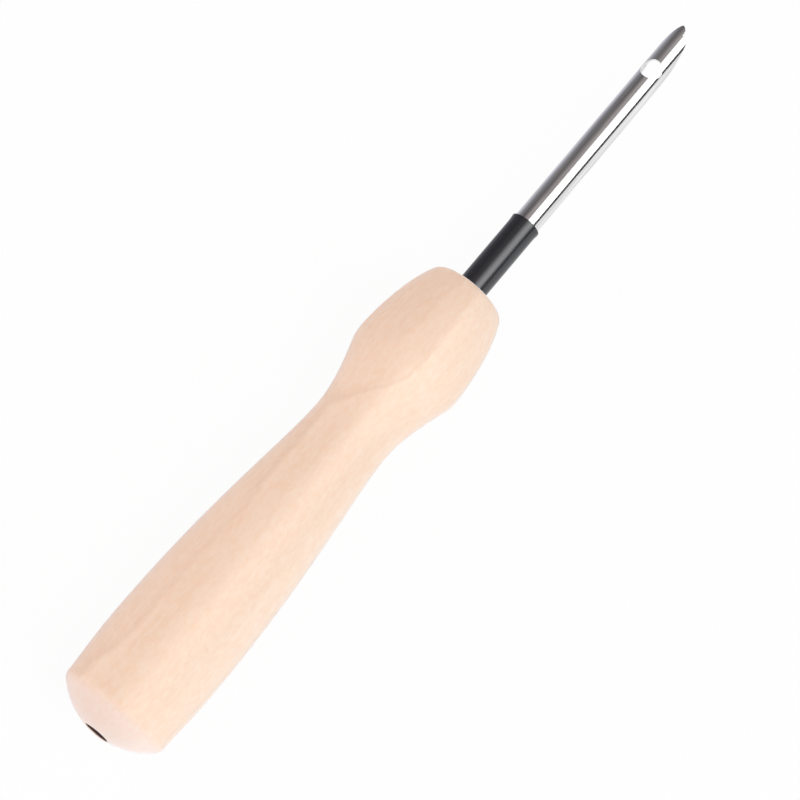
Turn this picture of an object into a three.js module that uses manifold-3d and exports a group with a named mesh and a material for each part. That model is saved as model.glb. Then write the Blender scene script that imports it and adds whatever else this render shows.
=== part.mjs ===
// Punch needle for rug and embroidery work: a turned wooden handle, drilled right through for the yarn, that holds a
// hollow steel needle in a thin black sleeve. Millimetres. The tool lies on its side: +X runs along it to the needle's
// tip, +Z is up, and the origin is below the middle of its length, on the surface that it lies on.
import * as THREE from "three";
import { mergeVertices } from "three/addons/utils/BufferGeometryUtils.js";
import Module from "manifold-3d";

const wasm = await Module();
wasm.setup();

// Handle: the lengths of its stretches in turn, from the butt's face to the nose's, and its diameters where they meet.
// The stock's own diameter is left at the belly and at the shoulder
const barrelLength = 13.2;
const taperLength = 37.1;
const flareLength = 11.5;
const bulbLength = 11.25;
const noseRoundLength = 1.4;
const stockDiameter = 16.1;
const buttDiameter = 15.4;
const waistDiameter = 11.2;
const noseDiameter = 12.05;
const noseFaceDiameter = 6.4;
const buttDomeRadius = 10.3;
const buttEdgeRadius = 1.5;
const noseTaper = 23;

// How far the outline runs on level at the start and end of each stretch, as a share of the stretch
const barrelEase = [0.2, 0.5];
const taperEase = [0.51, 0.17];
const flareEase = [0.43, 0.1];
const bulbEase = [0.24, 0.32];
const noseFullness = 0.7;

// Flats round the bulb, cut to one depth below the turned surface about an axis a little to the handle's -Y side, so
// that they are deeper on its +Y side
const flatCount = 12;
const flatDepth = 0.3;
const flatOffset = 0.2;

// Needle: a tube cut on a slant, with a round eye drilled through the tongue that the slant leaves
const needleDiameter = 3.65;
const needleWall = 0.35;
const needleReach = 46.65;
const needleSeat = 24;
const needleTurn = 16.5;
const bevelAngle = 15.6;
const tipThickness = 0.07;
const eyeDiameter = 2.9;
const eyeFromTip = 7.62;

// Sleeve on the needle's shank, and the clearance of each push fit, on the radius
const sleeveWall = 0.18;
const sleeveReach = 11.95;
const sleeveSeat = 20;
const sleeveLip = 0.07;
const sleeveLipLength = 1.2;
const lipEase = [0.5, 0.3];
const fitClearance = 0.03;

// Fineness of the facets: sides round a piece, and steps along each stretch of an outline
const handleSides = 72;
const tubeSides = 64;
const eyeSides = 48;
const steps = { dome: 7, edge: 5, barrel: 4, taper: 12, flare: 10, bulb: 8, nose: 6, lip: 4, lipRound: 3 };

const bellyPlace = barrelLength;
const waistPlace = bellyPlace + taperLength;
const shoulderPlace = waistPlace + flareLength;
const noseEdgePlace = shoulderPlace + bulbLength;
const handleLength = noseEdgePlace + noseRoundLength;
const noseSlope = Math.tan(THREE.MathUtils.degToRad(noseTaper));
const needleRadius = needleDiameter / 2;
const needleBoreRadius = needleRadius - needleWall;
const sleeveInnerRadius = needleRadius + fitClearance;
const sleeveRadius = sleeveInnerRadius + sleeveWall;
const boreRadius = sleeveRadius + fitClearance;

// The points of a run of curves, each with its own number of steps, with no point twice
function trace(...runs) {
  const points = [];
  for (const [curve, count] of runs) {
    const stretch = curve.getPoints(count);
    const joined = points.length > 0 && points[points.length - 1].distanceTo(stretch[0]) < 1e-6;
    points.push(...stretch.slice(joined ? 1 : 0));
  }
  return points;
}

// Turns a closed outline of (radius, place along the tool) about +X
function turned(outline, sides) {
  const geometry = new THREE.LatheGeometry([...outline, outline[0].clone()], sides);
  return geometry.rotateZ(-Math.PI / 2);
}

// A cubic curve between two (radius, place) points. It leaves the first one level for its share of the length, and
// comes into the last one along a slope that falls towards the axis
function sweep(start, end, [startEase, endEase], endSlope = 0) {
  const length = end.y - start.y;
  return new THREE.CubicBezierCurve(
    start,
    new THREE.Vector2(start.x, start.y + startEase * length),
    new THREE.Vector2(end.x + endSlope * endEase * length, end.y - endEase * length),
    end,
  );
}

function solid(geometry) {
  const bare = new THREE.BufferGeometry();
  bare.setAttribute("position", geometry.getAttribute("position"));
  if (geometry.index) {
    bare.setIndex(geometry.index);
  }
  const merged = mergeVertices(bare);
  const vertProperties = new Float32Array(merged.getAttribute("position").array);
  const triVerts = new Uint32Array(merged.index.array);
  return new wasm.Manifold(new wasm.Mesh({ numProp: 3, vertProperties, triVerts }));
}

function surface(manifold) {
  const mesh = manifold.getMesh();
  const geometry = new THREE.BufferGeometry();
  geometry.setAttribute("position", new THREE.BufferAttribute(mesh.vertProperties, 3));
  geometry.setIndex(new THREE.BufferAttribute(mesh.triVerts, 1));
  geometry.computeVertexNormals();
  return geometry;
}

// The bulb's turned outline, from the shoulder to where the nose starts to round
const shoulder = new THREE.Vector2(stockDiameter / 2, shoulderPlace);
const noseEdge = new THREE.Vector2(noseDiameter / 2, noseEdgePlace);
const bulbCurve = sweep(shoulder, noseEdge, bulbEase, noseSlope);

function handleOutline() {
  // The dome meets the bore at the butt's face and runs tangent into the round butt edge
  const domeCentre = Math.sqrt(buttDomeRadius ** 2 - boreRadius ** 2);
  const edgeCentreRadius = buttDiameter / 2 - buttEdgeRadius;
  const centres = buttDomeRadius - buttEdgeRadius;
  const edgeCentrePlace = domeCentre - Math.sqrt(centres ** 2 - edgeCentreRadius ** 2);
  const domeStart = Math.asin(boreRadius / buttDomeRadius) - Math.PI / 2;
  const domeEnd = Math.asin(edgeCentreRadius / centres) - Math.PI / 2;
  const dome = new THREE.EllipseCurve(0, domeCentre, buttDomeRadius, buttDomeRadius, domeStart, domeEnd);
  const edge = new THREE.EllipseCurve(
    edgeCentreRadius, edgeCentrePlace, buttEdgeRadius, buttEdgeRadius, domeEnd, 0,
  );
  const edgeEnd = new THREE.Vector2(buttDiameter / 2, edgeCentrePlace);
  const belly = new THREE.Vector2(stockDiameter / 2, bellyPlace);
  const waist = new THREE.Vector2(waistDiameter / 2, waistPlace);
  const noseFace = new THREE.Vector2(noseFaceDiameter / 2, handleLength);
  const noseCorner = new THREE.Vector2(noseEdge.x - noseSlope * noseRoundLength, handleLength);
  const noseRound = new THREE.CubicBezierCurve(
    noseEdge,
    noseEdge.clone().lerp(noseCorner, noseFullness),
    noseFace.clone().lerp(noseCorner, noseFullness),
    noseFace,
  );
  return trace(
    [dome, steps.dome],
    [edge, steps.edge],
    [sweep(edgeEnd, belly, barrelEase), steps.barrel],
    [sweep(belly, waist, taperEase), steps.taper],
    [sweep(waist, shoulder, flareEase), steps.flare],
    [bulbCurve, steps.bulb],
    [noseRound, steps.nose],
    [new THREE.LineCurve(new THREE.Vector2(boreRadius, handleLength), new THREE.Vector2(boreRadius, 0)), 1],
  );
}

// What a shaped cutter takes off at one flat: everything outside the bulb's own curve, set in by the flat's depth.
// Behind the shoulder the cutter runs straight out over the flare, and in front straight out over the round nose
function flatCutter() {
  const reach = stockDiameter;
  const cut = bulbCurve.getPoints(steps.bulb).map((point) => new THREE.Vector2(point.y, point.x - flatDepth));
  const runOutLength = 2 * noseRoundLength;
  const runOut = cut[cut.length - 1].clone().add(new THREE.Vector2(runOutLength, -noseSlope * runOutLength));
  const shape = new THREE.Shape([
    new THREE.Vector2(waistPlace, cut[0].y),
    ...cut,
    runOut,
    new THREE.Vector2(runOut.x, reach),
    new THREE.Vector2(waistPlace, reach),
  ]);
  const cutter = new THREE.ExtrudeGeometry(shape, { depth: stockDiameter, bevelEnabled: false });
  return cutter.translate(0, 0, -stockDiameter / 2).rotateX(Math.PI / 2);
}

function handleGeometry() {
  let body = solid(turned(handleOutline(), handleSides));
  for (let i = 0; i < flatCount; i += 1) {
    const cutter = flatCutter().rotateX((i * 2 * Math.PI) / flatCount).translate(0, -flatOffset, 0);
    body = body.subtract(solid(cutter));
  }
  return surface(body);
}

function needleGeometry() {
  const rear = handleLength - needleSeat;
  const tip = handleLength + needleReach;
  const outline = [
    new THREE.Vector2(needleRadius, rear),
    new THREE.Vector2(needleRadius, tip),
    new THREE.Vector2(needleBoreRadius, tip),
    new THREE.Vector2(needleBoreRadius, rear),
  ];
  // The slant leaves the tongue on the +Z side, with a little of its wall still standing at the very tip. The cutter
  // runs over both ends of the slant by the tube's radius
  const slope = Math.tan(THREE.MathUtils.degToRad(bevelAngle));
  const top = needleRadius - tipThickness;
  const over = needleRadius;
  const slant = new THREE.Shape([
    new THREE.Vector2(tip + over, top + slope * over),
    new THREE.Vector2(tip - (top + 2 * over) / slope, -2 * over),
    new THREE.Vector2(tip + over, -2 * over),
  ]);
  const slantCutter = new THREE.ExtrudeGeometry(slant, { depth: 2 * needleDiameter, bevelEnabled: false });
  slantCutter.translate(0, 0, -needleDiameter).rotateX(Math.PI / 2);
  const eyeDrill = new THREE.CylinderGeometry(eyeDiameter / 2, eyeDiameter / 2, needleDiameter, eyeSides);
  eyeDrill.rotateX(Math.PI / 2).translate(tip - eyeFromTip, 0, needleDiameter / 2);
  return surface(solid(turned(outline, tubeSides)).subtract(solid(slantCutter)).subtract(solid(eyeDrill)));
}

// The sleeve's free end stands a little proud, where the tubing was cut and shrunk
function sleeveGeometry() {
  const rear = handleLength - sleeveSeat;
  const end = handleLength + sleeveReach;
  const lipRadius = sleeveRadius + sleeveLip;
  const lipRound = sleeveWall / 2;
  const lipStart = new THREE.Vector2(sleeveRadius, end - sleeveLipLength);
  const lipCrest = new THREE.Vector2(lipRadius, end - lipRound);
  const outline = [
    new THREE.Vector2(sleeveRadius, rear),
    ...trace(
      [sweep(lipStart, lipCrest, lipEase), steps.lip],
      [new THREE.EllipseCurve(lipRadius - lipRound, end - lipRound, lipRound, lipRound, 0, Math.PI / 2), steps.lipRound],
    ),
    new THREE.Vector2(sleeveInnerRadius, end),
    new THREE.Vector2(sleeveInnerRadius, rear),
  ];
  return turned(outline, tubeSides);
}

function piece(name, geometry, colour, roughness, metalness) {
  const material = new THREE.MeshStandardMaterial({ color: colour, roughness, metalness });
  material.name = name;
  const mesh = new THREE.Mesh(geometry, material);
  mesh.name = name;
  return mesh;
}

const handle = piece("wooden_handle", handleGeometry(), 0xf6ddc4, 0.6, 0);
const sleeve = piece("shrink_sleeve", sleeveGeometry(), 0x2b2a2f, 0.4, 0);
const needle = piece("needle_tube", needleGeometry(), 0xc9c8cc, 0.18, 1);
needle.rotation.x = THREE.MathUtils.degToRad(-needleTurn);

// It lies on the fuller of the butt's edge and the belly
const restRadius = Math.max(buttDiameter, stockDiameter) / 2;
const tool = new THREE.Group();
tool.add(handle, sleeve, needle);
tool.position.set(-(handleLength + needleReach) / 2, 0, restRadius);

export default tool;
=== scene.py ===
# Dresses the punch needle for its picture: a turned wooden handle, a black sleeve and a hollow steel needle.
# Each piece is a finer mesh that stands for its CAD node, in the CAD frame: +X runs along the tool to the
# needle's tip, +Z is up, and the origin is below the middle of the length. Sizes are in millimetres until a
# mesh is made.
from math import asin, cos, pi, radians, sin, sqrt, tan

import bmesh
import bpy
import numpy as np
from mathutils import Matrix, Vector, noise


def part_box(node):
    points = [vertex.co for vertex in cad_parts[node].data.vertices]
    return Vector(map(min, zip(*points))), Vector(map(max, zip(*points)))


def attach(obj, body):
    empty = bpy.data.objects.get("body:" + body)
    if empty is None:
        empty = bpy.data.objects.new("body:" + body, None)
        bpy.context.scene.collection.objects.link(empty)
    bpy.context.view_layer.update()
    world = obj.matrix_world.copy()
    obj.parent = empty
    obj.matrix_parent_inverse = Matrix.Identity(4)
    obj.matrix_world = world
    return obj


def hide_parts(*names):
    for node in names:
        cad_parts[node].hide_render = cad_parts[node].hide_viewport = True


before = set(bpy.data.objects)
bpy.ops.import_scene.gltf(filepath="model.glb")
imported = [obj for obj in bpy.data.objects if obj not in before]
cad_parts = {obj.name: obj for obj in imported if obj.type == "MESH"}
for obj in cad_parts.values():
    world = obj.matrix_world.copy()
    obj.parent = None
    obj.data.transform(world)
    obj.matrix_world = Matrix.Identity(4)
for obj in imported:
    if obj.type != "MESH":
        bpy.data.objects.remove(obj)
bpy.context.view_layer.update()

MM = 0.001


def box_mm(node):
    low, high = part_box(node)
    return [value / MM for value in low], [value / MM for value in high]


# Where the pieces start and end along the tool, and the height of its axis, from the frame
(BUTT_X, _, _), (NOSE_X, _, _) = box_mm("wooden_handle")
(SLEEVE_REAR_X, _, SLEEVE_BOTTOM), (SLEEVE_END_X, _, SLEEVE_TOP) = box_mm("shrink_sleeve")
(NEEDLE_REAR_X, _, _), (TIP_X, _, _) = box_mm("needle_tube")
AXIS_Z = (SLEEVE_BOTTOM + SLEEVE_TOP) / 2

# Handle: the lengths of its stretches in turn, from the butt, and its diameters where they meet. The stock's
# own diameter is left at the belly and at the shoulder
BARREL_LENGTH = 13.2
TAPER_LENGTH = 37.1
FLARE_LENGTH = 11.5
BULB_LENGTH = 11.25
STOCK_DIAMETER = 16.1
BUTT_DIAMETER = 15.4
WAIST_DIAMETER = 11.2
NOSE_DIAMETER = 12.05
NOSE_FACE_DIAMETER = 6.4
BUTT_DOME_RADIUS = 10.3
BUTT_EDGE_RADIUS = 1.5
NOSE_SLOPE = tan(radians(23))
RIM_RADIUS = 0.12
MOUTH_ROUNDING = 0.12

# Places along the handle, from its butt
BELLY = BARREL_LENGTH
WAIST = BELLY + TAPER_LENGTH
SHOULDER = WAIST + FLARE_LENGTH
NOSE_EDGE = SHOULDER + BULB_LENGTH
HANDLE_LENGTH = NOSE_X - BUTT_X

# How far the outline runs on level at the start and end of each stretch, as a share of the stretch, and how
# full the nose's rounding is, from 0 for a straight chamfer to 1 for a corner
BARREL_EASE = (0.2, 0.5)
TAPER_EASE = (0.51, 0.17)
FLARE_EASE = (0.43, 0.1)
BULB_EASE = (0.24, 0.32)
NOSE_FULLNESS = 0.7

# Flats round the bulb. They lie about an axis of their own, FLAT_OFFSET to one side, which makes them deeper
# on the flank at +Y. There the offset changes along the bulb: FLANK_SHARES are its shares, at places from the
# shoulder. That flank also has one broad flat, which is deeper and has a sharper edge than the others
FLAT_COUNT = 12
FLAT_DEPTH = 0.3
FLAT_OFFSET = 0.2
FLANK_PLACES = (-3, 0, 5, 11)
FLANK_SHARES = (-0.6, 0.1, 0.6, 0.45)
FLANK_FLAT_FACING = radians(42)
FLANK_FLAT_DEPTH = 0.62
FLANK_CREASE_SOFTNESS = 0.06
CREASE_SOFTNESS = 0.35

# A flat counts only on the sides that face its way, which have a lean above this one. It is far away from the
# others, and from the stations that have no flats
LEAST_LEAN = 0.5
FAR = 1000

# Sanding leaves the wood a little uneven: how deep, and how long and wide the uneven places are
SANDING_DEPTH = 0.03
SANDING_LENGTH = 6
SANDING_WIDTH = 2

# Needle. A slanted cut leaves a tongue, which has one rounded corner and the eye, and is turned towards +Y
NEEDLE_RADIUS = 1.825
NEEDLE_WALL = 0.35
NEEDLE_TURN = radians(16.5)
BEVEL_ANGLE = radians(15.6)
TIP_THICKNESS = 0.07
TIP_CORNER_START = 0.5
TIP_CORNER_REACH = (1.3, 0.95)
EYE_DIAMETER = 2.9
EYE_FROM_TIP = 7.62
EDGE_BREAK = 0.03
EDGE_ANGLE = radians(30)
WELD_DISTANCE = 0.008

# Sleeve, and the bore that it is pressed into with the needle. A little way behind the needle's shank the
# bore steps down to what the yarn needs
SLEEVE_WALL = 0.18
SLEEVE_LIP = 0.07
SLEEVE_LIP_LENGTH = 1.2
SLEEVE_EDGE_BREAK = 0.04
LIP_EASE = (0.5, 0.3)
FIT_CLEARANCE = 0.03
BORE_RADIUS = NEEDLE_RADIUS + SLEEVE_WALL + 2 * FIT_CLEARANCE
YARN_BORE_RADIUS = 1.75
SHANK_TO_STEP = 0.5

# Fineness: sides round a piece, steps along each run of an outline, and the spacing of the needle's rings
HANDLE_SIDES = 360
HANDLE_STEPS = {
    "mouth": 8, "dome": 14, "edge": 10, "barrel": 16, "taper": 36, "flare": 40,
    "bulb": 36, "nose": 14, "face": 3, "rim": 4, "bore": 8, "yarn_bore": 16,
}
SLEEVE_SIDES = 192
SLEEVE_STEPS = {"seat": 4, "collar": 40, "lip": 10, "lip_round": 6, "end": 2}
NEEDLE_SIDES = 144
NEEDLE_RING_SPACING = 1
TIP_CORNER_SIDES = 12
EYE_SIDES = 72

# Shading: creases sharper than this stay sharp, and points this near to a wall's radius lie on that wall
SHARPEST_SMOOTH = radians(50)
ON_WALL = 0.003

# Camera: where it looks, from how far, and how the tool lies in its picture
AIM_FORWARD = -3.07
AIM_ASIDE = 2.205
CAMERA_DISTANCE = 446.4
CAMERA_TILT = radians(15)
CAMERA_ROLL = radians(4)
PICTURE_TURN = radians(49.88)
LENS = 157.5
SENSOR = 36
CLIP_END = 10000

# Lamps for matt surfaces, on top of an even ambient light. Angles round the tool are in degrees from straight
# up towards its -Y side, and lean is an angle along the tool, towards the needle
WHITE = (1, 1, 1, 1)
AMBIENT_LEVEL = 0.4
LAMP_DISTANCE = 900
LAMP_SIZE = 700
LAMPS = {
    "key": dict(angle=30, lean=0, level=0.43, colour=(1.0, 0.93, 0.93)),
    "side": dict(angle=80, lean=0, level=0.68, colour=(0.585, 0.83, 1.0)),
    "fill": dict(angle=-70, lean=0, level=0.48, colour=(1.0, 0.96, 0.99)),
    "back": dict(angle=0, lean=-65, level=0.22, colour=(0.92, 0.95, 1.0)),
}

# The tent that gloss reflects: its brightness at angles round the tool, as for the lamps. A bright softbox
# hangs from -2 to 53, and a dark cloth beside it
TENT_LEVELS = [
    (-150, (0.8, 0.79, 0.83)),
    (-128, (0.7, 0.69, 0.74)),
    (-106, (0.46, 0.46, 0.52)),
    (-92, (0.27, 0.265, 0.285)),
    (-80, (0.235, 0.227, 0.235)),
    (-59, (0.15, 0.142, 0.146)),
    (-49, (0.165, 0.155, 0.155)),
    (-38, (0.26, 0.242, 0.24)),
    (-31, (0.32, 0.298, 0.294)),
    (-21, (0.385, 0.355, 0.35)),
    (-13, (0.375, 0.346, 0.34)),
    (-3, (0.39, 0.36, 0.35)),
    (-2, (1.35, 1.35, 1.35)),
    (4, (1.5, 1.5, 1.5)),
    (18, (3.2, 3.2, 3.2)),
    (33, (4.0, 4.0, 4.0)),
    (48, (2.9, 2.9, 2.9)),
    (53, (1.7, 1.7, 1.7)),
    (54, (0.05, 0.05, 0.05)),
    (73, (0.05, 0.05, 0.05)),
    (75, (0.97, 0.93, 0.94)),
]
TENT_STEP = 3
TENT_RADIUS = 600
TENT_FOOT_HEIGHT = 1
TENT_ENDS = (-600, 900)

# Floor: its size, its colour, and the share of its own shading that shows through the white
FLOOR_SIZE = 4000
FLOOR_COLOUR = (0.9, 0.9, 0.9, 1)
FLOOR_SHADOW = 0.06

# Wood: its tones, how strongly each grain shows, and the tint of its dusty sheen
WOOD_PALE = (0.925, 0.678, 0.51)
WOOD_TONE = (0.913, 0.665, 0.497)
WOOD_DEEP = (0.9, 0.648, 0.478)
WOOD_RING = (0.68, 0.42, 0.27)
FIBRE_STRENGTH = 0.27
MOTTLE_STRENGTH = 0.45
PORE_STRENGTH = 0.12
SHEEN_TINT = (1.0, 0.95, 0.96, 1)

# Growth rings. They face RING_FACING, an angle in degrees like the tent's. A ring's edge lies RING_DEPTH from
# the tool's axis, leans along the tool, drops by RING_BEND between two places before the shoulder and sways
# unevenly. The two ramps below say how dark the wood is at shares of the way from one edge to the next: the
# first for a thin grain line at each edge, the second for a broad band that is partly late wood and partly
# painted shade, which darkens the flank at +Y
RING_FACING = -60
RING_LEAN = 0.046
RING_DEPTH = 5.1
RING_SPACING = 13
RING_BEND = 2.9
RING_BEND_PLACES = (-10.5, -1.5)
RING_SWAY = 1.6
RING_STRENGTH = 0.32
RING_EDGE = [(0.0, 0.75), (0.03, 0.3), (0.12, 0.0), (0.965, 0.0), (1.0, 0.75)]
# Partly late wood, partly painted shade on the flank at +Y
LATE_WOOD_AND_SHADE = [(0.0, 0.1), (0.15, 0.3), (0.28, 0.3), (0.42, 0.65), (0.975, 0.0), (1.0, 0.1)]

# Over the bulb a ring's edge fades to a share of its strength, between these places
RING_FADE_PLACES = (0.0, 7.0)
RING_FADED = 0.3

# End grain, which shows on the butt's dome: its tone, and how far it reaches along the tool. The tone is
# paler
# and pinker than the side wood: partly end grain, and partly painted light on the dome, which faces away from
# the key lamp
END_GRAIN_AND_PAINTED_LIGHT = (0.945, 0.72, 0.6)
END_GRAIN_REACH = (2.4, 3.7)

# The other materials' tones
# The bore's tones are painted shade: near black brown for the shadow inside the hole
BORE_SHADE_DARK = (0.06, 0.034, 0.03)
BORE_SHADE_PALE = (0.15, 0.082, 0.07)
STEEL_DARK = (0.76, 0.75, 0.755)
STEEL_PALE = (0.8, 0.79, 0.795)
SLEEVE_DARK = (0.0105, 0.0105, 0.0135)
SLEEVE_PALE = (0.0155, 0.0155, 0.02)

# How fine each grain is: its waves per millimetre along the tool and across it
WOOD_BROAD = (0.04, 0.28, 0.28)
WOOD_SWAY = (0.1, 0.25, 0.25)
WOOD_FIBRE = (0.12, 2.2, 2.2)
WOOD_MOTTLE = (0.9, 1.6, 1.6)
WOOD_PORES = (0.55, 7, 7)
BORE_BURR = (1.5, 4, 4)
STEEL_MARKS = (6, 0.3, 0.3)
STEEL_CLOUD = (0.25, 0.6, 0.6)
STEEL_STREAK = (0.1, 2.5, 2.5)
SLEEVE_DRAWN = (0.25, 4, 4)
SLEEVE_GRAIN = (5, 5, 5)


def bezier(start, start_handle, end_handle, end, count):
    """Points on a cubic curve, its ends among them."""
    t = np.linspace(0, 1, count + 1)[:, None]
    points = [np.array(point, float) for point in (start, start_handle, end_handle, end)]
    weights = ((1 - t) ** 3, 3 * (1 - t) ** 2 * t, 3 * (1 - t) * t ** 2, t ** 3)
    return sum(weight * point for weight, point in zip(weights, points))


def sweep(start, end, ease, count, end_slope=0):
    """A curve that leaves its start level and falls at end_slope where it ends."""
    length = end[0] - start[0]
    start_handle = (start[0] + ease[0] * length, start[1])
    end_handle = (end[0] - ease[1] * length, end[1] + end_slope * ease[1] * length)
    return bezier(start, start_handle, end_handle, end, count)


def arc(centre, radius, start, end, count):
    """(place, radius) points on an arc: angle 0 points back along the tool, and a right angle outwards."""
    angles = np.linspace(start, end, count + 1)
    return np.stack([centre[0] - radius * np.cos(angles), centre[1] + radius * np.sin(angles)], axis=-1)


def line(start, end, count):
    return np.linspace(start, end, count + 1)


def joined(runs):
    """One outline from runs that each start where the last one ended."""
    return np.concatenate([runs[0]] + [run[1:] for run in runs[1:]])


def mesh_object(name, points, faces):
    mesh = bpy.data.meshes.new(name)
    mesh.from_pydata((np.asarray(points) * MM).tolist(), [], faces)
    mesh.update()
    piece = bpy.data.objects.new(name, mesh)
    bpy.context.scene.collection.objects.link(piece)
    return piece


def turned(name, places, radii):
    """A closed body about the axis: rings of radii at places along it, the last joined to the first."""
    rings, sides = radii.shape
    turn = np.linspace(0, 2 * pi, sides, endpoint=False)
    x = np.broadcast_to(np.asarray(places)[:, None], radii.shape)
    points = np.stack([x, radii * np.sin(turn), AXIS_Z + radii * np.cos(turn)], axis=-1)
    index = np.arange(rings * sides).reshape(rings, sides)
    ahead = np.roll(index, -1, axis=0)
    corners = [index, ahead, np.roll(ahead, -1, axis=1), np.roll(index, -1, axis=1)]
    faces = np.stack(corners, axis=-1).reshape(-1, 4)
    return mesh_object(name, points.reshape(-1, 3), faces.tolist())


def prism(name, outline, low, high, upright):
    """A straight-sided cutter, from an outline of (x, y) if upright and of (x, z) if it lies across."""
    count = len(outline)
    points = []
    for depth in (low, high):
        for u, v in outline:
            points.append((u, v, depth) if upright else (u, depth, v))
    sides = [(i, (i + 1) % count, count + (i + 1) % count, count + i) for i in range(count)]
    ends = [tuple(range(count))[::-1], tuple(range(count, 2 * count))]
    piece = mesh_object(name, points, ends + sides)
    shell = bmesh.new()
    shell.from_mesh(piece.data)
    bmesh.ops.recalc_face_normals(shell, faces=shell.faces)
    shell.to_mesh(piece.data)
    shell.free()
    return piece


def apply_modifiers(piece):
    graph = bpy.context.evaluated_depsgraph_get()
    mesh = bpy.data.meshes.new_from_object(piece.evaluated_get(graph))
    piece.modifiers.clear()
    piece.data = mesh


def cut(piece, cutter):
    """Takes the cutter's volume out of the piece, and the cutter out of the scene."""
    modifier = piece.modifiers.new("cut", "BOOLEAN")
    modifier.operation = "DIFFERENCE"
    modifier.solver = "EXACT"
    modifier.object = cutter
    apply_modifiers(piece)
    bpy.data.objects.remove(cutter)


def break_edges(piece):
    """Welds the slivers that the cuts leave, and takes the sharpness off the edges."""
    weld = piece.modifiers.new("weld", "WELD")
    weld.merge_threshold = WELD_DISTANCE * MM
    bevel = piece.modifiers.new("edges", "BEVEL")
    bevel.width = EDGE_BREAK * MM
    bevel.segments = 2
    bevel.limit_method = "ANGLE"
    bevel.angle_limit = EDGE_ANGLE
    bevel.use_clamp_overlap = False
    apply_modifiers(piece)


def smooth(piece):
    for face in piece.data.polygons:
        face.use_smooth = True
    piece.data.set_sharp_from_angle(angle=SHARPEST_SMOOTH)


def round_normals(mesh, walls):
    """Gives points on a wall about the tool's axis that wall's true normal. Walls are radii, with 1 for one
    that faces outwards and -1 for one that faces inwards."""
    for face in mesh.polygons:
        face.use_smooth = True
    normals = []
    for vertex in mesh.vertices:
        spoke = Vector((0, vertex.co.y, vertex.co.z - AXIS_Z * MM))
        sides = [side for radius, side in walls.items() if abs(spoke.length - radius * MM) < ON_WALL * MM]
        normals.append(spoke.normalized() * sides[0] if sides else vertex.normal)
    mesh.normals_split_custom_set_from_vertices(normals)


def handle_outline():
    """(place, radius) stations from the mouth in the butt, over the outside, and back along the bore."""
    mouth_place = MOUTH_ROUNDING
    mouth = YARN_BORE_RADIUS + MOUTH_ROUNDING
    mouth_dome = BUTT_DOME_RADIUS - MOUTH_ROUNDING
    dome_centre = mouth_place + sqrt(mouth_dome ** 2 - mouth ** 2)
    dome_start = asin(mouth / mouth_dome)
    edge = BUTT_DIAMETER / 2 - BUTT_EDGE_RADIUS
    edge_dome = BUTT_DOME_RADIUS - BUTT_EDGE_RADIUS
    edge_place = dome_centre - sqrt(edge_dome ** 2 - edge ** 2)
    dome_end = asin(edge / edge_dome)
    belly = (BELLY, STOCK_DIAMETER / 2)
    waist = (WAIST, WAIST_DIAMETER / 2)
    shoulder = (SHOULDER, STOCK_DIAMETER / 2)
    nose_edge = np.array([NOSE_EDGE, NOSE_DIAMETER / 2])
    nose_face = np.array([HANDLE_LENGTH, NOSE_FACE_DIAMETER / 2])
    corner = np.array([HANDLE_LENGTH, nose_edge[1] - NOSE_SLOPE * (HANDLE_LENGTH - NOSE_EDGE)])
    nose_start = nose_edge + NOSE_FULLNESS * (corner - nose_edge)
    nose_end = nose_face + NOSE_FULLNESS * (corner - nose_face)
    rim = BORE_RADIUS + RIM_RADIUS
    rim_place = HANDLE_LENGTH - RIM_RADIUS
    step = NEEDLE_REAR_X - BUTT_X - SHANK_TO_STEP
    count = HANDLE_STEPS
    return joined([
        arc((mouth_place, mouth), MOUTH_ROUNDING, -pi / 2, dome_start, count["mouth"]),
        arc((dome_centre, 0), BUTT_DOME_RADIUS, dome_start, dome_end, count["dome"]),
        arc((edge_place, edge), BUTT_EDGE_RADIUS, dome_end, pi / 2, count["edge"]),
        sweep((edge_place, BUTT_DIAMETER / 2), belly, BARREL_EASE, count["barrel"]),
        sweep(belly, waist, TAPER_EASE, count["taper"]),
        sweep(waist, shoulder, FLARE_EASE, count["flare"]),
        sweep(shoulder, nose_edge, BULB_EASE, count["bulb"], NOSE_SLOPE),
        bezier(nose_edge, nose_start, nose_end, nose_face, count["nose"]),
        line(nose_face, (HANDLE_LENGTH, rim), count["face"]),
        arc((rim_place, rim), RIM_RADIUS, pi, 3 * pi / 2, count["rim"]),
        line((rim_place, BORE_RADIUS), (step, BORE_RADIUS), count["bore"]),
        line((step, BORE_RADIUS), (step, YARN_BORE_RADIUS), 1),
        line((step, YARN_BORE_RADIUS), (mouth_place, YARN_BORE_RADIUS), count["yarn_bore"])[:-1],
    ])


def flat_distance(place, radius):
    """How far the flats lie from their own axis at a station; far away where there are none."""
    if place < WAIST or radius <= NOSE_FACE_DIAMETER / 2:
        return FAR
    if place <= SHOULDER:
        return STOCK_DIAMETER / 2 - FLAT_DEPTH
    if place <= NOSE_EDGE:
        return radius - FLAT_DEPTH
    return NOSE_DIAMETER / 2 - FLAT_DEPTH - NOSE_SLOPE * (place - NOSE_EDGE)


def cut_to_flat(radii, turn, facing, distances, softness):
    """The radii cut down to a flat that faces an angle and lies at a distance from the axis at each station.
    The softness is how far from the crease the two surfaces start to blend."""
    lean = np.cos(turn - facing)
    flat = np.where(lean > LEAST_LEAN, distances / np.maximum(lean, LEAST_LEAN), FAR)
    overlap = np.maximum(softness - np.abs(radii - flat), 0) / softness
    return np.minimum(radii, flat) - overlap ** 2 * softness / 4


def sanded_off(place, radii, turn):
    """What uneven sanding takes off the radii of one station."""
    shares = []
    for radius, angle in zip(radii, turn):
        across = radius / SANDING_WIDTH
        spot = Vector((place / SANDING_LENGTH, across * sin(angle), across * cos(angle)))
        shares.append(0.5 + 0.5 * noise.noise(spot))
    return SANDING_DEPTH * np.array(shares)


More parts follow.
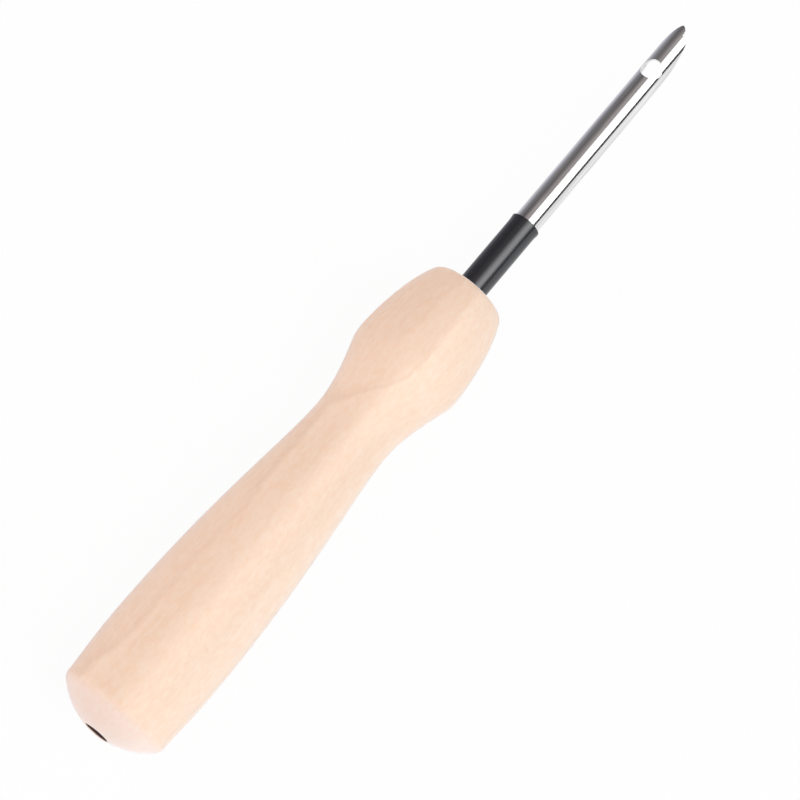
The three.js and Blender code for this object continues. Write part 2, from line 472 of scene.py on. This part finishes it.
def handle_radii(outline):
    """The turned radius at each station and side, cut down to the flats and sanded."""
    turn = np.linspace(0, 2 * pi, HANDLE_SIDES, endpoint=False)
    radii = np.repeat(outline[:, 1:], HANDLE_SIDES, axis=1)
    distances = np.array([flat_distance(place, radius) for place, radius in outline])[:, None]
    flank_shares = np.interp(outline[:, 0] - SHOULDER, FLANK_PLACES, FLANK_SHARES)[:, None]
    for i in range(FLAT_COUNT):
        facing = 2 * pi * i / FLAT_COUNT
        share = flank_shares if sin(facing) > 0 else 1
        deeper = FLAT_OFFSET * share * sin(facing)
        radii = cut_to_flat(radii, turn, facing, distances - deeper, CREASE_SOFTNESS)
    deeper = FLANK_FLAT_DEPTH - FLAT_DEPTH
    radii = cut_to_flat(radii, turn, FLANK_FLAT_FACING, distances - deeper, FLANK_CREASE_SOFTNESS)
    for station, (place, radius) in enumerate(outline):
        if radius > BORE_RADIUS + RIM_RADIUS:
            radii[station] -= sanded_off(place, radii[station], turn)
    return radii


def make_handle():
    """Its mouth's rounding is bare wood, and the bore from there on is coloured near black, as painted
    shade for the shadow inside the hole.
    """
    outline = handle_outline()
    piece = turned("handle_wood", BUTT_X + outline[:, 0], handle_radii(outline))
    smooth(piece)
    # The bore's faces take the painted shade material
    in_bore = (outline[:, 1] < BORE_RADIUS + ON_WALL) & (outline[:, 0] > 2 * MOUTH_ROUNDING)
    piece.data.materials.append(wood_material())
    piece.data.materials.append(painted_shade_bore_material())
    piece.data.polygons.foreach_set("material_index", np.repeat(in_bore, HANDLE_SIDES).astype(np.int32))
    return piece


def slant_cutter():
    """Takes away what lies below the slanted cut, which leaves the tongue above it."""
    slope = tan(BEVEL_ANGLE)
    top = NEEDLE_RADIUS - TIP_THICKNESS
    over = NEEDLE_RADIUS
    outline = [
        (TIP_X + over, AXIS_Z + top + slope * over),
        (TIP_X - (top + 2 * over) / slope, AXIS_Z - 2 * over),
        (TIP_X + over, AXIS_Z - 2 * over),
    ]
    return prism("slant_cutter", outline, -2 * over, 2 * over, upright=False)


def tip_cutter():
    """Rounds one corner of the tongue's tip to a quarter of an ellipse."""
    over = NEEDLE_RADIUS
    along, across = TIP_CORNER_REACH
    start_x = TIP_X - along
    angles = np.linspace(0, pi / 2, TIP_CORNER_SIDES + 1)
    outline = [(start_x + along * cos(angle), TIP_CORNER_START - across * sin(angle)) for angle in angles]
    outline += [(start_x, -2 * over), (TIP_X + over, -2 * over), (TIP_X + over, TIP_CORNER_START)]
    return prism("tip_cutter", outline, AXIS_Z, AXIS_Z + 2 * over, upright=True)


def eye_cutter():
    radius = EYE_DIAMETER / 2
    eye_x = TIP_X - EYE_FROM_TIP
    angles = [2 * pi * (i + 0.5) / EYE_SIDES for i in range(EYE_SIDES)]
    outline = [(eye_x + radius * cos(angle), radius * sin(angle)) for angle in angles]
    return prism("eye_cutter", outline, AXIS_Z, AXIS_Z + 2 * NEEDLE_RADIUS, upright=True)


def make_needle():
    bore = NEEDLE_RADIUS - NEEDLE_WALL
    count = round((TIP_X - NEEDLE_REAR_X) / NEEDLE_RING_SPACING)
    outside = line((NEEDLE_REAR_X, NEEDLE_RADIUS), (TIP_X, NEEDLE_RADIUS), count)
    inside = line((TIP_X, bore), (NEEDLE_REAR_X, bore), count)
    outline = np.concatenate([outside, inside])
    piece = turned("needle_steel", outline[:, 0], np.repeat(outline[:, 1:], NEEDLE_SIDES, axis=1))
    for cutter in (slant_cutter, tip_cutter, eye_cutter):
        cut(piece, cutter())
    to_axis = Matrix.Translation((0, 0, AXIS_Z * MM))
    piece.data.transform(to_axis @ Matrix.Rotation(-NEEDLE_TURN, 4, "X") @ to_axis.inverted())
    break_edges(piece)
    round_normals(piece.data, {NEEDLE_RADIUS: 1, bore: -1})
    piece.data.materials.append(steel_material())
    return piece


def make_sleeve():
    inner = NEEDLE_RADIUS + FIT_CLEARANCE
    outer = inner + SLEEVE_WALL
    lip = outer + SLEEVE_LIP
    lip_round = SLEEVE_WALL / 2
    lip_start = (SLEEVE_END_X - SLEEVE_LIP_LENGTH, outer)
    crest = (SLEEVE_END_X - lip_round, lip)
    broken = (SLEEVE_END_X, inner + SLEEVE_EDGE_BREAK)
    count = SLEEVE_STEPS
    outline = joined([
        line((SLEEVE_REAR_X, inner), (SLEEVE_REAR_X, outer), 1),
        line((SLEEVE_REAR_X, outer), (NOSE_X, outer), count["seat"]),
        line((NOSE_X, outer), lip_start, count["collar"]),
        sweep(lip_start, crest, LIP_EASE, count["lip"]),
        arc((SLEEVE_END_X - lip_round, lip - lip_round), lip_round, pi / 2, pi, count["lip_round"]),
        line((SLEEVE_END_X, lip - lip_round), broken, count["end"]),
        line(broken, (SLEEVE_END_X - SLEEVE_EDGE_BREAK, inner), 1),
    ])
    piece = turned("sleeve_black", outline[:, 0], np.repeat(outline[:, 1:], SLEEVE_SIDES, axis=1))
    smooth(piece)
    piece.data.materials.append(sleeve_material())
    return piece


def add(tree, kind, sockets=None, **settings):
    """Adds a node of a material, with each socket linked to a socket or set to a value."""
    node = tree.nodes.new("ShaderNode" + kind)
    for key, value in settings.items():
        setattr(node, key, value)
    for key, value in (sockets or {}).items():
        join(tree, value, node.inputs[key])
    return node


def join(tree, value, socket):
    if isinstance(value, bpy.types.NodeSocket):
        tree.links.new(value, socket)
    else:
        socket.default_value = value


def new_material(name, **shader):
    """A material, its tree and its shader, whose sockets are set by their names with _ for a space."""
    material = bpy.data.materials.new(name)
    material.use_nodes = True
    principled = material.node_tree.nodes["Principled BSDF"]
    for key, value in shader.items():
        principled.inputs[key.replace("_", " ")].default_value = value
    return material, material.node_tree, principled


def place_mm(tree, waves=(1, 1, 1)):
    """Places on the piece in millimetres, or in a grain's waves, with so many to the millimetre."""
    coordinates = add(tree, "TexCoord").outputs["Object"]
    return add(tree, "Mapping", {"Vector": coordinates, "Scale": [value / MM for value in waves]}).outputs[0]


def grain(tree, waves, detail=2, roughness=0.5):
    """Noise of about 0 to 1, with so many waves per millimetre along each axis."""
    sockets = {"Vector": place_mm(tree, waves), "Scale": 1.0, "Detail": detail, "Roughness": roughness}
    return add(tree, "TexNoise", sockets).outputs[0]


def ramp(tree, value, stops):
    """A colour for each value, from (value, colour) stops."""
    node = add(tree, "ValToRGB", {"Fac": value})
    elements = node.color_ramp.elements
    while len(elements) < len(stops):
        elements.new(0.5)
    for element, (position, colour) in zip(elements, stops):
        element.position = position
        element.color = (*colour, 1)
    return node.outputs["Color"]


def grey_ramp(tree, value, stops):
    return ramp(tree, value, [(position, (level,) * 3) for position, level in stops])


def calculate(tree, operation, first, second):
    return add(tree, "Math", {0: first, 1: second}, operation=operation).outputs[0]


def mixed(tree, factor, first, second, blend="MIX"):
    """Colours go in by sockets 6 and 7 and come out by 2, because the node's names repeat for each type."""
    node = add(tree, "Mix", data_type="RGBA", blend_type=blend)
    for socket, value in ((0, factor), (6, first), (7, second)):
        join(tree, value, node.inputs[socket])
    return node.outputs[2]


def smooth_step(tree, value, low, high, start, end):
    """Start below low and end above high, with a soft change between them."""
    sockets = {"Value": value, "From Min": low, "From Max": high, "To Min": start, "To Max": end}
    return add(tree, "MapRange", sockets, interpolation_type="SMOOTHSTEP").outputs[0]


def roughen(tree, shader, height, strength, depth):
    """Bumps that are a depth in millimetres high where the height is 1."""
    bump = add(tree, "Bump", {"Height": height, "Strength": strength, "Distance": depth * MM})
    tree.links.new(bump.outputs[0], shader.inputs["Normal"])


def grain_rings_and_shade(tree):
    """How dark the growth rings are: a thin line at each ring's edge, and a broad band that is partly late
    wood and partly painted shade, which darkens the flank at +Y. They are nearly flat sheets, so an edge
    shows as a long line, which crosses the handle where they bend."""
    sway = calculate(tree, "SUBTRACT", grain(tree, WOOD_SWAY, detail=4), 0.5)
    place = place_mm(tree)
    axis = add(tree, "VectorMath", {0: place, 1: (0, 0, AXIS_Z)}, operation="SUBTRACT").outputs[0]
    facing = radians(RING_FACING)
    normal = Vector((RING_LEAN, -sin(facing), cos(facing)))
    depth = add(tree, "VectorMath", {0: axis, 1: normal}, operation="DOT_PRODUCT").outputs["Value"]
    along = add(tree, "SeparateXYZ", {0: place}).outputs[0]
    bend = smooth_step(tree, along, *RING_BEND_PLACES, -RING_DEPTH, RING_BEND - RING_DEPTH)
    past = calculate(tree, "ADD", depth, bend)
    past = calculate(tree, "ADD", past, calculate(tree, "MULTIPLY", sway, RING_SWAY))
    rings = calculate(tree, "DIVIDE", past, RING_SPACING)
    share = add(tree, "Math", {0: rings}, operation="FRACT").outputs[0]
    edge_strength = smooth_step(tree, along, *RING_FADE_PLACES, 1.0, RING_FADED)
    edge = calculate(tree, "MULTIPLY", grey_ramp(tree, share, RING_EDGE), edge_strength)
    # The broad band is painted shade as well as late wood
    return calculate(tree, "ADD", edge, grey_ramp(tree, share, LATE_WOOD_AND_SHADE))


def wood_material():
    sheen = dict(Sheen_Weight=1.0, Sheen_Roughness=0.35, Sheen_Tint=SHEEN_TINT)
    material, tree, shader = new_material("pale_wood", IOR=1.5, **sheen)
    broad = grain(tree, WOOD_BROAD, detail=3)
    fibre = grain(tree, WOOD_FIBRE, detail=4, roughness=0.6)
    mottle = grain(tree, WOOD_MOTTLE, detail=3, roughness=0.65)
    pores = grey_ramp(tree, grain(tree, WOOD_PORES, detail=1), [(0.62, 0.0), (0.72, 1.0)])
    tone = ramp(tree, broad, [(0.3, WOOD_DEEP), (0.5, WOOD_TONE), (0.7, WOOD_PALE)])
    # The rings come and go with the broad noise, which is 0.5 on average
    uneven = calculate(tree, "MULTIPLY", broad, 2.0)
    ring = calculate(tree, "MULTIPLY", grain_rings_and_shade(tree), uneven)
    tone = mixed(tree, calculate(tree, "MULTIPLY", ring, RING_STRENGTH), tone, (*WOOD_RING, 1))
    along = add(tree, "SeparateXYZ", {0: place_mm(tree)}).outputs[0]
    end_places = [BUTT_X + reach for reach in END_GRAIN_REACH]
    # The butt's dome is painted paler: partly end grain, partly painted light
    tone = mixed(tree, smooth_step(tree, along, *end_places, 1.0, 0.0), tone, (*END_GRAIN_AND_PAINTED_LIGHT, 1))
    fibres = grey_ramp(tree, fibre, [(0.3, 0.42), (0.7, 0.58)])
    tone = mixed(tree, FIBRE_STRENGTH, tone, fibres, "OVERLAY")
    mottles = grey_ramp(tree, mottle, [(0.35, 0.42), (0.65, 0.58)])
    tone = mixed(tree, MOTTLE_STRENGTH, tone, mottles, "OVERLAY")
    tone = mixed(tree, calculate(tree, "MULTIPLY", pores, PORE_STRENGTH), tone, (*WOOD_RING, 1))
    tree.links.new(tone, shader.inputs["Base Color"])
    tree.links.new(grey_ramp(tree, mottle, [(0.3, 0.44), (0.7, 0.56)]), shader.inputs["Roughness"])
    height = calculate(tree, "SUBTRACT", calculate(tree, "MULTIPLY", fibre, 0.6), pores)
    roughen(tree, shader, height, strength=0.35, depth=0.03)
    return material


def painted_shade_bore_material():
    """Drilled wood with burred bumps, coloured near black brown as painted shade for the shadow
    inside the bore.
    """
    material, tree, shader = new_material("bore_painted_shade", Roughness=0.85)
    burr = grain(tree, BORE_BURR, detail=4)
    tree.links.new(ramp(tree, burr, [(0.3, BORE_SHADE_DARK), (0.7, BORE_SHADE_PALE)]), shader.inputs["Base Color"])
    roughen(tree, shader, burr, strength=0.6, depth=0.08)
    return material


def steel_material():
    """Polished round the tube, which leaves very fine marks across it."""
    material, tree, shader = new_material("polished_steel", Metallic=1.0)
    marks = grain(tree, STEEL_MARKS)
    cloud = grain(tree, STEEL_CLOUD, detail=3)
    streak = grain(tree, STEEL_STREAK, detail=3, roughness=0.6)
    tone = ramp(tree, cloud, [(0.3, STEEL_DARK), (0.7, STEEL_PALE)])
    tone = mixed(tree, 1.0, tone, grey_ramp(tree, streak, [(0.36, 0.25), (0.64, 0.75)]), "OVERLAY")
    tree.links.new(tone, shader.inputs["Base Color"])
    tree.links.new(grey_ramp(tree, marks, [(0.3, 0.12), (0.75, 0.16)]), shader.inputs["Roughness"])
    roughen(tree, shader, marks, strength=0.1, depth=0.01)
    return material


def sleeve_material():
    """Drawn and shrunk tubing: satin, with faint lines along it."""
    material, tree, shader = new_material("black_tubing", IOR=1.5, Specular_IOR_Level=0.8)
    drawn = grain(tree, SLEEVE_DRAWN, detail=3)
    fine = grain(tree, SLEEVE_GRAIN, detail=3, roughness=0.6)
    tree.links.new(ramp(tree, fine, [(0.3, SLEEVE_DARK), (0.7, SLEEVE_PALE)]), shader.inputs["Base Color"])
    tree.links.new(grey_ramp(tree, drawn, [(0.3, 0.2), (0.7, 0.27)]), shader.inputs["Roughness"])
    height = calculate(tree, "MULTIPLY", calculate(tree, "ADD", drawn, fine), 0.5)
    roughen(tree, shader, height, strength=0.2, depth=0.02)
    return material


def seen_as_background(tree):
    """1 for the rays that show the background itself: the camera's, and those of gloss and glass."""
    path = add(tree, "LightPath")
    seen = calculate(tree, "MAXIMUM", path.outputs["Is Camera Ray"], path.outputs["Is Glossy Ray"])
    return calculate(tree, "MAXIMUM", seen, path.outputs["Is Transmission Ray"])


def make_world():
    world = bpy.data.worlds.new("studio")
    bpy.context.scene.world = world
    world.use_nodes = True
    tree = world.node_tree
    ambient = tree.nodes["Background"]
    ambient.inputs["Color"].default_value = WHITE
    ambient.inputs["Strength"].default_value = AMBIENT_LEVEL
    white = add(tree, "Background", {"Color": WHITE, "Strength": 1.0})
    both = add(tree, "MixShader", {0: seen_as_background(tree), 1: ambient.outputs[0], 2: white.outputs[0]})
    tree.links.new(both.outputs[0], tree.nodes["World Output"].inputs["Surface"])


def make_floor():
    """White like the background, with a share of its own shading, which keeps the tool's shadow."""
    half = FLOOR_SIZE / 2
    corners = [(-half, -half, 0), (half, -half, 0), (half, half, 0), (-half, half, 0)]
    floor = mesh_object("floor", corners, [(0, 1, 2, 3)])
    matt = dict(Base_Color=FLOOR_COLOUR, Roughness=1.0, Specular_IOR_Level=0.0)
    material, tree, shader = new_material("white_floor", **matt)
    white = add(tree, "Emission", {"Color": WHITE, "Strength": 1.0})
    share = calculate(tree, "MULTIPLY", seen_as_background(tree), 1 - FLOOR_SHADOW)
    both = add(tree, "MixShader", {0: share, 1: shader.outputs[0], 2: white.outputs[0]})
    tree.links.new(both.outputs[0], tree.nodes["Material Output"].inputs["Surface"])
    floor.data.materials.append(material)


def round_tool(angle, distance):
    """(y, z) at an angle round the tool's axis, from straight up towards its -Y side."""
    return -distance * sin(angle), AXIS_Z + distance * cos(angle)


def tent_section():
    """(y, z, level) points of the tent, from its foot on the +Y side, over the top, and down the -Y side.
    What would lie below the floor is laid out just above it, in the same direction from the tool."""
    angles, levels = zip(*TENT_LEVELS)
    points = []
    for angle in sorted({*angles, *range(angles[0], angles[-1], TENT_STEP)}):
        level = [np.interp(angle, angles, channel) for channel in zip(*levels)]
        y, z = round_tool(radians(angle), TENT_RADIUS)
        if z < TENT_FOOT_HEIGHT:
            y = min(TENT_RADIUS, (AXIS_Z - TENT_FOOT_HEIGHT) * tan(radians(angle)))
            z = TENT_FOOT_HEIGHT
        points.append((y, z, level))
    return points


def make_tent():
    """What gloss reflects. Only gloss sees it, so it neither lights matt surfaces nor casts a shadow."""
    section = tent_section()
    count = len(section)
    points = [(x, y, z) for x in TENT_ENDS for y, z, _ in section]
    faces = [(i, i + 1, count + i + 1, count + i) for i in range(count - 1)]
    tent = mesh_object("tent", points, faces)
    glows = tent.data.attributes.new("glow", "FLOAT_COLOR", "POINT")
    colours = [(*level, 1) for _, _, level in section] * len(TENT_ENDS)
    glows.data.foreach_set("color", np.array(colours, np.float32).ravel())
    material, tree, _ = new_material("tent")
    glow = add(tree, "Attribute", attribute_name="glow").outputs["Color"]
    glow = add(tree, "Emission", {"Color": glow, "Strength": 1.0})
    tree.links.new(glow.outputs[0], tree.nodes["Material Output"].inputs["Surface"])
    tent.data.materials.append(material)
    tent.visible_camera = False
    tent.visible_diffuse = False
    tent.visible_shadow = False
    tent.visible_transmission = False


def make_lamp(name, angle, lean, level, colour):
    """A soft lamp that faces the tool and lights matt surfaces alone."""
    data = bpy.data.lights.new(name, "AREA")
    data.size = LAMP_SIZE * MM
    data.energy = level * (pi * LAMP_DISTANCE * MM) ** 2
    data.color = colour
    lamp = bpy.data.objects.new(name, data)
    y, z = round_tool(radians(angle), LAMP_DISTANCE * cos(radians(lean)))
    place = Vector((LAMP_DISTANCE * sin(radians(lean)), y, z))
    facing = (place - Vector((0, 0, AXIS_Z))).to_track_quat("Z", "Y")
    lamp.matrix_world = Matrix.Translation(place * MM) @ facing.to_matrix().to_4x4()
    lamp.visible_glossy = False
    bpy.context.scene.collection.objects.link(lamp)


def make_camera():
    """Above the tool, tilted towards its butt and rolled a little towards its -Y side."""
    above = Vector((0, -sin(CAMERA_ROLL), cos(CAMERA_ROLL)))
    aside = Vector((0, -cos(CAMERA_ROLL), -sin(CAMERA_ROLL)))
    forward = Vector((1, 0, 0))
    along = cos(CAMERA_TILT) * forward + sin(CAMERA_TILT) * above
    back = cos(CAMERA_TILT) * above - sin(CAMERA_TILT) * forward
    right = cos(PICTURE_TURN) * along + sin(PICTURE_TURN) * aside
    up = sin(PICTURE_TURN) * along - cos(PICTURE_TURN) * aside
    aim = Vector((AIM_FORWARD, 0, AXIS_Z)) + AIM_ASIDE * aside
    camera = bpy.data.objects.new("camera", bpy.data.cameras.new("camera"))
    camera.data.lens = LENS
    camera.data.sensor_width = SENSOR
    camera.data.clip_end = CLIP_END * MM
    place = Matrix.Translation((aim + CAMERA_DISTANCE * back) * MM)
    camera.matrix_world = place @ Matrix((right, up, back)).transposed().to_4x4()
    bpy.context.scene.collection.objects.link(camera)
    bpy.context.scene.camera = camera


make_camera()
make_world()
make_floor()
make_tent()
for name, lamp in LAMPS.items():
    make_lamp(name, **lamp)
for piece, node, slot in (
    (make_handle(), "wooden_handle", "wood"),
    (make_sleeve(), "shrink_sleeve", "sleeve"),
    (make_needle(), "needle_tube", "steel"),
):
    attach(piece, "root")
    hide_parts(node)

bpy.context.scene.view_settings.view_transform = "Standard"
